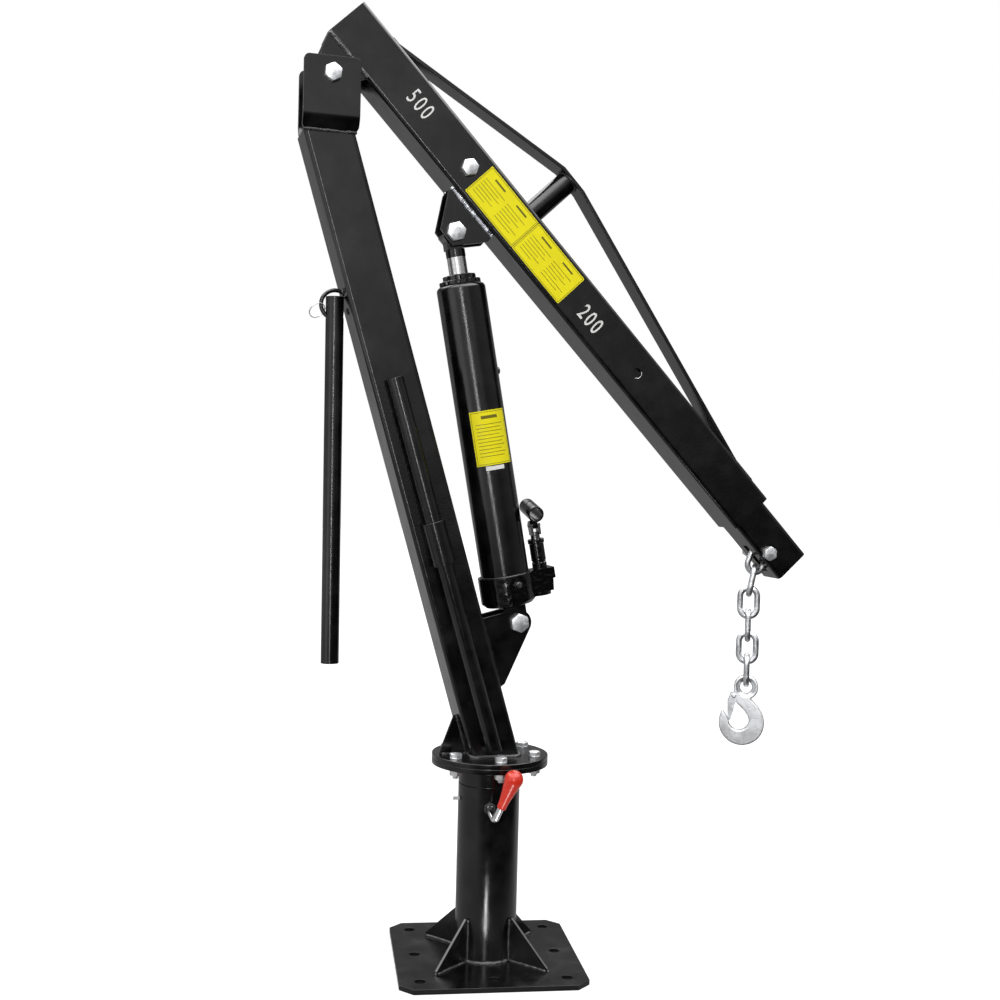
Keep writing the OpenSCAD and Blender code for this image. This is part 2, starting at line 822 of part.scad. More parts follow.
// plunger that ends in a fork, with the pin of the pump lever
module pump_piston() color(chrome) at_jack() {
    translate([pump_n, 0, pump_high]) cylinder(d = plunger_d, h = fork_low - pump_high);
    for (s = [-1, 1]) {
        x = pump_n + s * (fork_in + fork_out) / 2;
        half = (fork_out - fork_in) / 2;
        along_x(x - half, x + half) fork_outline();
    }
    translate(fork_pin) rod_x(fork_pin_d, -fork_out - 2, fork_out + 2);
}

module fork_outline() {
    translate([fork_pin[1], fork_pin[2]]) circle(fork_r);
    translate([fork_pin[1] - fork_r, fork_low - 4])
        square([2 * fork_r, fork_pin[2] - fork_low + 4]);
}

module at_socket() translate(socket_at) rotate([90 + socket_dip, 0, -socket_turn]) children();

// through socket for the pump handle, on a lug that turns in the fork
module pump_socket() color(paint) at_jack() difference() {
    union() {
        at_socket() translate([0, 0, -socket_len / 2]) cylinder(r = socket_r, h = socket_len);
        along_x(pump_n - socket_lug_half, pump_n + socket_lug_half) {
            translate([fork_pin[1], fork_pin[2]]) circle(fork_r - 1);
            translate([fork_pin[1] - fork_r + 1, fork_pin[2]])
                square([2 * fork_r - 2, 16]);
        }
    }
    at_socket() translate([0, 0, -socket_len]) cylinder(r = socket_bore_r, h = 2 * socket_len);
    translate(fork_pin) rod_x(fork_pin_d + 2 * hole_play, -fork_out, fork_out);
}

module ram_rod() color(chrome) at_jack() translate([0, 0, ram_low])
    cylinder(d = ram_d, h = ram_collar - ram_low);

// ram head: saddle under the upper pin, open upwards and away from the mast
module ram_head() color(paint) at_jack() {
    play_r = jack_pin_d / 2 + pin_play;
    translate([0, 0, ram_collar]) cylinder(d = ram_d + 1, h = ram_neck_t);
    along_y(-eye_half, eye_half) difference() {
        union() {
            translate([-ram_d / 2, ram_collar + ram_neck_t])
                square([ram_d - 4, ram_top - ram_collar - ram_neck_t]);
            translate([ram_eye_n, ram_top]) circle(ram_eye_r);
        }
        translate([ram_eye_n, ram_top]) circle(play_r);
        translate([ram_eye_n, ram_top])
            polygon([[0, -play_r], [40, -play_r - 21], [40, 40], [-40, 40], [-40, 0], [0, 0]]);
    }
}

// ---- nodes ----------------------------------------------------------

base_plate();
base_gussets();
post_tube();
stop_screw();
clamp_lever();
clamp_grip();
swivel_shaft();
swivel_collar();
lower_flange();
upper_flange();
flange_bolts();
mast_tube();
mast_foot_gusset();
ear_near();
ear_far();
pivot_bolt();
jack_brackets();
lower_jack_bolt();
pipe_sleeve();
stored_pipe();
handle_hook();
split_ring();
pump_handle();
boom_tube();
boom_lugs();
clevis_plates();
upper_jack_bolt();
brace_bar();
brace_strut();
extension_bolt();
inner_boom();
chain_bolt();
anchor_link();
chain_links();
hook();
hook_latch();
jack_tang();
jack_base();
jack_cylinder();
gland_nut();
release_valve();
pump_cylinder();
pump_piston();
pump_socket();
ram_rod();
ram_head();
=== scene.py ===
import json
import math
import random

import bmesh
import bpy
from mathutils import Matrix, Vector, noise


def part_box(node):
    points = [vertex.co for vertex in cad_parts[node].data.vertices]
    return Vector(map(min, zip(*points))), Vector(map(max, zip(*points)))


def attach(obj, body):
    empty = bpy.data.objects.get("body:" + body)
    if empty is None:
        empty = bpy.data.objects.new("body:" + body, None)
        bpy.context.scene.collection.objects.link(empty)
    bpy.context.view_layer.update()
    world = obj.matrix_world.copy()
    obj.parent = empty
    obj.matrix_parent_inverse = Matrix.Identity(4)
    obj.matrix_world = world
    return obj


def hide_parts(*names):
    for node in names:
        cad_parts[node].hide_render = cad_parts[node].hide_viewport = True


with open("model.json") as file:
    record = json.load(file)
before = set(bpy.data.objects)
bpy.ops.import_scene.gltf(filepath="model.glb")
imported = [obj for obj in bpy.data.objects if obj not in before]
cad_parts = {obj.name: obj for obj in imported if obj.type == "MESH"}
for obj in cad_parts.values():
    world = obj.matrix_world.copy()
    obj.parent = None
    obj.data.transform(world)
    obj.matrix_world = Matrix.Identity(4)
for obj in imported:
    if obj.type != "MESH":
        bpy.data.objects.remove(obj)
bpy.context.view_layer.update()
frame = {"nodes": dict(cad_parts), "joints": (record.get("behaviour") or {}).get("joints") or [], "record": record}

# ---- frames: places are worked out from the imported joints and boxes, in metres ----

MM = 0.001
X = Vector((1, 0, 0))
Y = Vector((0, 1, 0))
Z = Vector((0, 0, 1))
MAST_LEAN = math.radians(16.6)
BASE_TURN = math.radians(8)
PIN_OFFSET = 3.9 * MM

joints = {joint["name"]: joint for joint in frame["joints"]}


def joint_at(name):
    return Vector(joints[name]["pos_m"])


def joint_axis(name):
    return Vector(joints[name]["axis"]).normalized()


def axes(origin, z, x):
    """Matrix of a local frame with its Z along z and its X near x."""
    z = z.normalized()
    y = z.cross(x).normalized()
    matrix = Matrix((y.cross(z), y, z)).transposed().to_4x4()
    matrix.translation = origin
    return matrix


def span(node, matrix):
    """Lowest and highest corner of a CAD node in a local frame."""
    back = matrix.inverted()
    points = [back @ v.co for v in frame["nodes"][node].data.vertices]
    low = Vector([min(p[i] for p in points) for i in range(3)])
    high = Vector([max(p[i] for p in points) for i in range(3)])
    return low, high


foot = Vector((0, 0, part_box("upper_flange")[1].z))
along_boom = joint_axis("boom_extend")
along_jack = joint_axis("ram_slide")
BOOM = axes(joint_at("boom_luff"), along_boom.cross(Y), along_boom)
JACK = axes(joint_at("jack_tilt"), along_jack, Y.cross(along_jack))
JACK = JACK @ Matrix.Translation((-PIN_OFFSET, 0, 0))
MAST = axes(foot, Vector((-math.sin(MAST_LEAN), 0, math.cos(MAST_LEAN))), X)
CLAMP = axes(Z * joint_at("clamp_turn").z, Z, joint_axis("clamp_turn"))
GROUND = Matrix.Identity(4)

# ---- materials -------------------------------------------------------


class Graph:
    """Adds nodes to the tree of a material or of the world."""

    def __init__(self, tree):
        self.tree = tree

    def node(self, kind, **settings):
        made = self.tree.nodes.new(kind)
        for key, value in settings.items():
            setattr(made, key, value)
        return made

    def link(self, source, target):
        self.tree.links.new(source, target)

    def spread(self, source, low, high, to_low=0.0, to_high=1.0, kind="LINEAR"):
        """Takes low to to_low and high to to_high, and stays level outside them."""
        made = self.node("ShaderNodeMapRange", interpolation_type=kind)
        for key, value in (("From Min", low), ("From Max", high),
                           ("To Min", to_low), ("To Max", to_high)):
            made.inputs[key].default_value = value
        self.link(source, made.inputs["Value"])
        return made.outputs["Result"]

    def toward(self, source, direction):
        """How far a position or a view direction lies in a direction."""
        made = self.node("ShaderNodeVectorMath", operation="DOT_PRODUCT")
        made.inputs[1].default_value = direction
        self.link(source, made.inputs[0])
        return made.outputs["Value"]

    def math(self, operation, first, second):
        made = self.node("ShaderNodeMath", operation=operation)
        for socket, value in zip(made.inputs, (first, second)):
            self.put(value, socket)
        return made.outputs[0]

    def blend(self, factor, first, second):
        """Number between two others, which are numbers or sockets."""
        made = self.node("ShaderNodeMix")
        self.link(factor, made.inputs["Factor"])
        self.put(first, made.inputs["A"])
        self.put(second, made.inputs["B"])
        return made.outputs["Result"]

    def put(self, value, socket):
        if isinstance(value, float):
            socket.default_value = value
        else:
            self.link(value, socket)


class Look(Graph):
    """A material in the making. The colour given first is what a plain viewer shows."""

    def __init__(self, name, colour, metal=0.0, rough=0.5):
        self.material = bpy.data.materials.new(name)
        self.material.use_nodes = True
        super().__init__(self.material.node_tree)
        self.shader = self.tree.nodes["Principled BSDF"]
        self.shader.inputs["Base Color"].default_value = (*colour, 1)
        self.shader.inputs["Metallic"].default_value = metal
        self.shader.inputs["Roughness"].default_value = rough

    def coords(self, stretch=(1, 1, 1)):
        place = self.node("ShaderNodeTexCoord")
        mapping = self.node("ShaderNodeMapping")
        mapping.inputs["Scale"].default_value = stretch
        self.link(place.outputs["Object"], mapping.inputs["Vector"])
        return mapping.outputs["Vector"]

    def noise(self, scale, detail, stretch=(1, 1, 1)):
        """Noise with a number of lumps in a metre."""
        made = self.node("ShaderNodeTexNoise")
        made.inputs["Scale"].default_value = scale
        made.inputs["Detail"].default_value = detail
        self.link(self.coords(stretch), made.inputs["Vector"])
        return made.outputs["Fac"]

    def cells(self, scale):
        made = self.node("ShaderNodeTexVoronoi")
        made.inputs["Scale"].default_value = scale
        self.link(self.coords(), made.inputs["Vector"])
        return made.outputs["Color"]

    def patches(self, scale, detail, low, high, to_low=0.0, to_high=1.0):
        """Noise cut off below low and above high, so that it falls into patches."""
        return self.spread(self.noise(scale, detail), low, high, to_low, to_high)

    def mix(self, factor, first, second):
        """Colour between two others, which are colours or sockets."""
        made = self.node("ShaderNodeMix", data_type="RGBA")
        self.link(factor, made.inputs[0])
        for socket, colour in ((made.inputs[6], first), (made.inputs[7], second)):
            if isinstance(colour, tuple):
                socket.default_value = (*colour, 1)
            else:
                self.link(colour, socket)
        return made.outputs[2]

    def colour(self, source):
        self.link(source, self.shader.inputs["Base Color"])

    def gloss(self, scale, detail, low, high, edge=0.3):
        """Roughness that varies in patches between low and high."""
        self.rough(self.patches(scale, detail, edge, 1 - edge, low, high))

    def rough(self, source):
        self.link(source, self.shader.inputs["Roughness"])

    def bump(self, source, strength, depth):
        """Bump over what is there already; depth is in metres."""
        made = self.node("ShaderNodeBump")
        made.inputs["Strength"].default_value = strength
        made.inputs["Distance"].default_value = depth
        self.link(source, made.inputs["Height"])
        normal = self.shader.inputs["Normal"]
        if normal.is_linked:
            self.link(normal.links[0].from_socket, made.inputs["Normal"])
        self.link(made.outputs["Normal"], normal)


def black_paint():
    """Glossy powder coat with orange peel, soft blotches and rubbed patches."""
    look = Look("black_powder_coat", (0.006, 0.006, 0.0065))
    blotch = look.patches(34, 4, 0.42, 0.66)
    rubbed = look.patches(11, 6, 0.55, 0.72)
    dark = look.mix(blotch, (0.0014, 0.0014, 0.0016), (0.0056, 0.0057, 0.006))
    look.colour(look.mix(rubbed, dark, (0.012, 0.0122, 0.013)))
    look.gloss(26, 5, 0.08, 0.24)
    look.bump(look.noise(560, 3), 0.26, 0.5 * MM)
    look.bump(look.noise(38, 2), 0.08, 2 * MM)
    return look.material


def wet_paint():
    """Thick glossy enamel of the jack's castings, with soft waves."""
    look = Look("glossy_enamel", (0.0022, 0.0022, 0.0025), rough=0.08)
    look.gloss(40, 4, 0.04, 0.14)
    look.bump(look.noise(110, 3), 0.22, 2 * MM)
    return look.material


def black_weld():
    """Black coat over a rough bead: lumpy, with sharp glints."""
    look = Look("coated_weld", (0.012, 0.012, 0.013), rough=0.2)
    look.bump(look.noise(420, 4), 0.75, 1.6 * MM)
    look.gloss(300, 3, 0.08, 0.24, edge=0.35)
    return look.material


def bare_weld():
    """Bright bead that was laid after painting, with grey and blue tints."""
    look = Look("bare_weld", (0.8, 0.8, 0.8), metal=1.0, rough=0.3)
    tint = look.patches(210, 3, 0.35, 0.65)
    look.colour(look.mix(tint, (0.42, 0.44, 0.5), (0.92, 0.93, 0.96)))
    look.gloss(500, 3, 0.2, 0.45)
    look.bump(look.noise(700, 4), 0.5, 0.8 * MM)
    return look.material


def zinc():
    """Zinc-plated fasteners: bright, with a fine crystal mottle."""
    look = Look("zinc_plate", (0.78, 0.79, 0.8), metal=0.72, rough=0.4)
    crystal = look.spread(look.cells(260), 0.2, 0.9)
    cloud = look.patches(90, 4, 0.35, 0.68)
    bright = look.mix(crystal, (0.6, 0.61, 0.63), (0.86, 0.87, 0.88))
    look.colour(look.mix(cloud, bright, (0.5, 0.5, 0.51)))
    look.gloss(160, 3, 0.3, 0.54)
    look.bump(look.noise(900, 2), 0.2, 0.3 * MM)
    return look.material


def galvanised():
    """Chain and hook: dull bright metal, darker in smears and pits."""
    look = Look("galvanised_steel", (0.6, 0.61, 0.63), metal=1.0, rough=0.42)
    smear = look.patches(75, 5, 0.4, 0.68)
    look.colour(look.mix(smear, (0.72, 0.73, 0.75), (0.36, 0.36, 0.37)))
    look.gloss(220, 4, 0.28, 0.56)
    look.bump(look.noise(360, 4), 0.22, 0.6 * MM)
    return look.material


def forged():
    """Hook: the same coating over scaled forging."""
    look = Look("galvanised_forging", (0.6, 0.61, 0.63), metal=1.0, rough=0.38)
    scale = look.patches(55, 4, 0.4, 0.7)
    look.colour(look.mix(scale, (0.74, 0.75, 0.77), (0.5, 0.5, 0.51)))
    look.gloss(260, 4, 0.26, 0.46)
    look.bump(look.noise(300, 3), 0.12, 0.6 * MM)
    return look.material


def chrome(name, shine, dull):
    """Hard chrome with faint rings and wipe marks; dull is its lowest roughness."""
    look = Look(name, (0.7, 0.7, 0.71), metal=1.0, rough=0.22)
    wiped = look.noise(60, 3, (1, 1, 6))
    rings = look.noise(60, 2, (1, 1, 30))
    worn = tuple(0.74 * channel for channel in shine)
    look.colour(look.mix(look.spread(wiped, 0.4, 0.7), shine, worn))
    look.rough(look.spread(wiped, 0.3, 0.7, dull, dull + 0.14))
    look.bump(rings, 0.03, 0.2 * MM)
    return look.material


def oiled_steel():
    """Dark ground steel with a film of oil."""
    look = Look("oiled_steel", (0.2, 0.2, 0.2), metal=1.0, rough=0.25)
    look.gloss(180, 3, 0.16, 0.36)
    look.bump(look.noise(400, 2), 0.06, 0.2 * MM)
    return look.material


def red_grip():
    """Glossy moulded plastic, a little lighter where it is handled."""
    look = Look("red_plastic", (0.68, 0.03, 0.012), rough=0.24)
    handled = look.patches(48, 3, 0.4, 0.7)
    look.colour(look.mix(handled, (0.64, 0.024, 0.01), (0.76, 0.055, 0.022)))
    look.gloss(110, 3, 0.18, 0.32)
    look.bump(look.noise(240, 2), 0.05, 0.4 * MM)
    return look.material


def printed(name, colour, worn, share):
    """Printed film or stencil paint; a larger share of it is worn into small specks."""
    look = Look(name, colour, rough=0.5)
    look.shader.inputs["Specular IOR Level"].default_value = 0.25
    specks = look.patches(330, 5, 1 - share, 1 - share + 0.08)
    cloud = look.patches(40, 3, 0.3, 0.75, 0.0, 0.5)
    faded = tuple(channel * 0.86 for channel in colour)
    look.colour(look.mix(specks, look.mix(cloud, colour, faded), worn))
    look.gloss(70, 3, 0.4, 0.6)
    look.bump(look.noise(500, 2), 0.06, 0.2 * MM)
    return look.material


BLACK = (0.02, 0.02, 0.022)
looks = {
    "paint": black_paint(),
    "weld": black_weld(),
    "bare_weld": bare_weld(),
    "zinc": zinc(),
    "galvanised": galvanised(),
    "forged": forged(),
    "enamel": wet_paint(),
    "chrome": chrome("hard_chrome", (0.84, 0.84, 0.85), 0.1),
    "dull_chrome": chrome("worn_chrome", (0.66, 0.66, 0.67), 0.22),
    "oiled": oiled_steel(),
    "red": red_grip(),
    "yellow": printed("yellow_film", (0.9, 0.8, 0.006), (0.7, 0.6, 0.02), 0.3),
    "ink": printed("faded_ink", (0.16, 0.14, 0.01), (0.5, 0.44, 0.01), 0.32),
    "white": printed("white_stencil", (0.8, 0.8, 0.78), BLACK, 0.34),
    "tag": printed("white_tag", (0.82, 0.82, 0.8), (0.6, 0.6, 0.58), 0.3),
}
# slot in the record of each look; the others are coatings of black_paint
CAD_LOOKS = {"black_paint": "paint", "zinc": "zinc", "galvanised": "galvanised",
             "chrome": "chrome", "red_grip": "red"}

# ---- shapes ----------------------------------------------------------


MERGE = 1e-6
HEX_STEPS = 48
HEX_SLOPE = math.radians(30)


def circle(radius, height, steps):
    return [Vector((radius * math.cos(a), radius * math.sin(a), height))
            for a in (2 * math.pi * i / steps for i in range(steps))]


class Shape:
    """Mesh made of rings of points, placed with a matrix."""

    def __init__(self):
        self.points = []
        self.faces = []

    def rings(self, rings, closed_path=False):
        """Joins rings of equal size, with caps unless the path is closed."""
        first = len(self.points)
        count = len(rings[0])
        for ring in rings:
            self.points.extend(ring)
        last = len(rings) if closed_path else len(rings) - 1
        for i in range(last):
            here, there = first + i * count, first + (i + 1) % len(rings) * count
            for j in range(count):
                k = (j + 1) % count
                self.faces.append((here + j, here + k, there + k, there + j))
        if not closed_path:
            self.faces.append(tuple(first + j for j in reversed(range(count))))
            self.faces.append(tuple(first + (len(rings) - 1) * count + j for j in range(count)))

    def lathe(self, matrix, profile, steps=48):
        """Turned form from a profile of (radius, height) pairs."""
        self.rings([[matrix @ p for p in circle(r, z, steps)] for r, z in profile])

    def hexagon(self, matrix, across, height):
        """Hexagon head or nut with a rounded-off top; a corner lies on local X."""
        flat = 0.95 * across / 2
        side = []
        for i in range(HEX_STEPS):
            a = 2 * math.pi * i / HEX_STEPS
            from_flat = math.pi / 6 - a % (math.pi / 3)
            radius = across / 2 / math.cos(from_flat)
            top = height - max(0, radius - flat) * math.tan(HEX_SLOPE)
            side.append((radius * math.cos(a), radius * math.sin(a), top))
        self.rings([[matrix @ Vector((x, y, 0)) for x, y, _ in side],
                    [matrix @ Vector(point) for point in side],
                    [matrix @ p for p in circle(flat, height, HEX_STEPS)]])

    def tube(self, path, radius, sides=12, closed=False):
        """Round tube along a path; radius is a length or a function of the step."""
        rings = []
        count = len(path)
        side = None
        for i, point in enumerate(path):
            before = path[i - 1] if i or closed else point
            after = path[(i + 1) % count] if i < count - 1 or closed else point
            ahead = (after - before).normalized()
            if side is None:
                side = ahead.orthogonal().normalized()
            side = (side - ahead * side.dot(ahead)).normalized()
            other = ahead.cross(side)
            size = radius(i) if callable(radius) else radius
            rings.append([point + size * (math.cos(a) * side + math.sin(a) * other)
                          for a in (2 * math.pi * j / sides for j in range(sides))])
        self.rings(rings, closed_path=closed)

    def plate(self, matrix, outline, thickness):
        """Flat plate with an outline of (x, y) points and its back on z = 0."""
        self.rings([[matrix @ Vector((x, y, z)) for x, y in outline] for z in (0, thickness)])


def finish_mesh(mesh, angle):
    """Smooth shading, but sharp where faces meet at more than the angle."""
    for polygon in mesh.polygons:
        polygon.use_smooth = True
    mesh.set_sharp_from_angle(angle=math.radians(angle))


def place(thing, body, look, replaced=()):
    """Gives a thing its look and its body, and hides the CAD nodes it stands for."""
    thing.data.materials.clear()
    thing.data.materials.append(looks[look])
    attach(thing, body)
    if replaced:
        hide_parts(*replaced)
    return thing


def new_object(name, mesh):
    thing = bpy.data.objects.new(name, mesh)
    bpy.context.collection.objects.link(thing)
    return thing


def piece(name, shape, body, look, replaced=(), angle=32):
    """Object from a shape, with its doubled points merged and its normals outward."""
    mesh = bpy.data.meshes.new(name)
    mesh.from_pydata(shape.points, [], shape.faces)
    work = bmesh.new()
    work.from_mesh(mesh)
    bmesh.ops.remove_doubles(work, verts=work.verts, dist=MERGE)
    bmesh.ops.recalc_face_normals(work, faces=work.faces)
    work.to_mesh(mesh)
    work.free()
    finish_mesh(mesh, angle)
    return place(new_object(name, mesh), body, look, replaced)


def body_of(node):
    bodies = frame["record"]["behaviour"]["bodies"]
    return next(name for name, nodes in bodies.items() if node in nodes)


def applied(thing):
    """Puts a thing's modifiers into its mesh."""
    graph = bpy.context.evaluated_depsgraph_get()
    mesh = bpy.data.meshes.new_from_object(thing.evaluated_get(graph))
    thing.modifiers.clear()
    thing.data = mesh
    return mesh


def copy_of(node, name):
    """Copy of a CAD node's mesh, with its flat faces in one piece again."""
    flat = math.radians(0.6)
    mesh = frame["nodes"][node].data.copy()
    work = bmesh.new()
    work.from_mesh(mesh)
    bmesh.ops.remove_doubles(work, verts=work.verts, dist=2 * MERGE)
    bmesh.ops.dissolve_limit(work, angle_limit=flat, verts=work.verts, edges=work.edges)
    work.to_mesh(mesh)
    work.free()
    return new_object(name, mesh)


def bent(thing):
    """Rounds the two bends of an ear's plate, which run along X above its foot."""
    foot_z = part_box("ear_near")[0].z
    lowest, highest = foot_z + 4 * MM, foot_z + 30 * MM
    rounding, steps = 5 * MM, 6
    work = bmesh.new()
    work.from_mesh(thing.data)
    bends = [edge for edge in work.edges
             if abs((edge.verts[0].co - edge.verts[1].co).normalized().x) > 0.999
             and all(lowest < vert.co.z < highest for vert in edge.verts)]
    bmesh.ops.bevel(work, geom=bends, offset=rounding, segments=steps, affect="EDGES",
                    profile=0.5)
    work.to_mesh(thing.data)
    work.free()


def eased(node, width, look="paint"):
    """CAD node with its sharp edges rounded, so that they catch the light."""
    thing = copy_of(node, node + "_eased")
    if node in ("ear_near", "ear_far"):
        bent(thing)
    bevel = thing.modifiers.new("ease", "BEVEL")
    bevel.width = width
    bevel.segments = 2
    bevel.limit_method = "ANGLE"
    bevel.angle_limit = math.radians(34)
    finish_mesh(applied(thing), 50)
    weigh = thing.modifiers.new("weigh", "WEIGHTED_NORMAL")
    weigh.keep_sharp = True
    applied(thing)
    return place(thing, body_of(node), look, [node])


def softened(node, voxel, rounds, look):
    """CAD node remeshed and smoothed into a forged or moulded form."""
    thing = copy_of(node, node + "_soft")
    remesh = thing.modifiers.new("remesh", "REMESH")
    remesh.mode = "VOXEL"
    remesh.voxel_size = voxel
    smooth = thing.modifiers.new("smooth", "SMOOTH")
    smooth.iterations = rounds
    smooth.factor = 0.5
    finish_mesh(applied(thing), 180)
    return place(thing, body_of(node), look, [node])


# ---- bolts and screws ------------------------------------------------

HEAD = 10 * MM
NUT = 13 * MM
PAST = 4 * MM  # how far a bolt's end stands out of its nut
PITCH = 1.75 * MM
THREAD_DEPTH = 0.9 * MM


def thread(radius, start, end):
    """Profile of a screw thread, as rings."""
    profile = []
    count = int((end - start) / PITCH)
    for i in range(count):
        z = start + i * PITCH
        profile += [(radius - THREAD_DEPTH, z), (radius, z + PITCH / 2)]
    return profile + [(radius - THREAD_DEPTH, end - 0.6 * MM), (radius - 1.6 * MM, end)]


def cross_bolt(node, across, shank, turn):
    """Bolt across Y, with its head on the near side and a nut on the far side."""
    low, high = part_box(node)
    middle = (low + high) / 2
    corner = Vector((math.cos(turn), 0, math.sin(turn)))
    seat = Vector((middle.x, low.y + HEAD, middle.z))
    shape = Shape()
    shape.hexagon(axes(seat, -Y, corner), across, HEAD)
    shape.hexagon(axes(Vector((middle.x, high.y - PAST - NUT, middle.z)), Y, corner), across, NUT)
    length = high.y - seat.y
    shape.lathe(axes(seat, Y, corner),
                [(shank, 0), (shank, length - PAST - 1 * MM)]
                + thread(shank, length - PAST, length))
    return piece(node + "_hex", shape, body_of(node), "zinc", [node])


def cross_bolts():
    """Each bolt's width across flats, shank radius and turn, in mm and degrees."""
    slope = math.asin(-along_boom.z)
    for node, across, shank, degrees in (
        ("pivot_bolt", 24, 8, 85),
        ("lower_jack_bolt", 27, 9, 100),
        ("upper_jack_bolt", 27, 9, 90 + math.degrees(slope)),
        ("extension_bolt", 24, 8, 85 + math.degrees(slope)),
        ("chain_bolt", 21, 7, 101 + math.degrees(slope)),
    ):
        cross_bolt(node, across * MM, shank * MM, math.radians(degrees))


def flange_bolts():
    """Six bolts through both flanges, each with a washer and a nut below."""
    circle_radius, phase, across, shank = 74 * MM, math.radians(28), 17 * MM, 5 * MM
    washer, washer_radius, edge = 1.6 * MM, 9.4 * MM, 0.3 * MM
    nut = 11 * MM
    spin = 0.06  # bolts aren't all tightened to the same angle
    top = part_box("upper_flange")[1].z
    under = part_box("lower_flange")[0].z
    low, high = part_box("flange_bolts")
    disc = [(washer_radius - edge, 0), (washer_radius, edge), (washer_radius, washer - edge),
            (washer_radius - edge, washer)]
    nut_end = top - under + nut
    rng = random.Random(5)
    shape = Shape()
    for i in range(6):
        a = phase + i * math.pi / 3
        spot = Vector((circle_radius * math.cos(a), circle_radius * math.sin(a), 0))
        turned = Vector((math.cos(a + spin * rng.random()), math.sin(a + spin * rng.random()), 0))
        shape.hexagon(axes(spot + Z * (top + washer), Z, turned), across, high.z - top - washer)
        shape.hexagon(axes(spot + Z * (under - washer), -Z, turned), across, nut - washer)
        for start in (top, under - washer):
            shape.lathe(axes(spot + Z * start, Z, turned), disc)
        shape.lathe(axes(spot + Z * top, -Z, turned),
                    [(shank, 0), (shank, nut_end)] + thread(shank, nut_end, top - low.z))
    return piece("flange_bolts_hex", shape, "crane", "zinc", ["flange_bolts"])


def stop_screw():
    low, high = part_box("stop_screw")
    spot = Vector((low.x, 0, (low.z + high.z) / 2))
    radius, tip = 3 * MM, 0.8 * MM
    shape = Shape()
    shape.lathe(axes(spot, X, Z), [(radius - tip, 0), (radius, tip), (radius, 2 * MM)]
                + thread(radius, 2.2 * MM, high.x - low.x), steps=24)
    return piece("stop_screw_threaded", shape, "root", "zinc", ["stop_screw"])


# ---- welds -----------------------------------------------------------

BEAD_STEP = 1.1 * MM
RIPPLE = 3.1 * MM
LUMPS = 140  # in a metre
WANDER = 90
THIN = 2.6 * MM  # radius of the smaller beads
welds = {}


def even(path, step):
    """Points at even steps along a line of straight stretches."""
    points = [path[0]]
    for start, end in zip(path, path[1:]):
        count = max(1, round((end - start).length / step))
        points += [start.lerp(end, (i + 1) / count) for i in range(count)]
    return points


def bead(body, path, radius, look="weld", closed=False):
    """Rippled bead along a path, kept with the other welds of its body."""
    shape = welds.setdefault((body, look), Shape())
    points = even(path + path[:1] if closed else path, BEAD_STEP)
    if closed:
        points = points[:-1]
    last = len(points) - 1

    def size(i):
        lump = noise.noise(points[i] * LUMPS)
        ripple = 0.1 * math.sin(i * BEAD_STEP * 2 * math.pi / RIPPLE)
        fade = 1 if closed else min(1, 0.45 + 0.3 * min(i, last - i))
        return radius * fade * (1 + 0.3 * lump + ripple)

    wandering = [p + Vector((noise.noise(p * WANDER + X * k) for k in (11, 23, 37)))
                 * radius * 0.22 for p in points]
    shape.tube(wandering, size, sides=9, closed=closed)


def line_bead(body, matrix, start, end, radius, look="weld"):
    bead(body, [matrix @ Vector(start), matrix @ Vector(end)], radius, look)


def ring_bead(body, matrix, ring_radius, height, radius, steps=72):
    bead(body, [matrix @ p for p in circle(ring_radius, height, steps)], radius, closed=True)


def base_welds():
    """Beads around the post and on both sides of each gusset."""
    plate_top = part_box("base_plate")[1].z
    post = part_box("post_tube")[1].x
    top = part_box("base_gussets")[1].z - 2 * MM
    reach, half = 122 * MM, THIN
    toe = reach + 3 * MM
    fillet = 2.9 * MM
    ring_bead("root", GROUND, post + 1 * MM, plate_top, 4.2 * MM)
    for k in range(4):
        turned = Matrix.Rotation(math.radians(45 + 90 * k) - BASE_TURN, 4, "Z")
        for side in (-half, half):
            start = (post, side, plate_top)
            line_bead("root", turned, start, (reach, side, plate_top), fillet)
            line_bead("root", turned, start, (post, side, top), fillet)
        line_bead("root", turned, (toe, -half, plate_top), (toe, half, plate_top), THIN)


def swivel_welds():
    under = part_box("lower_flange")[0].z
    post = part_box("post_tube")[1].x
    ring_bead("crane", GROUND, post, under, THIN)


def mast_line(height, back=False):
    """X of the mast's front or back face at a height."""
    half = (-1 if back else 1) * span("mast_tube", MAST)[1].y / math.cos(MAST_LEAN)
    return half - (height - foot.z) * math.tan(MAST_LEAN)


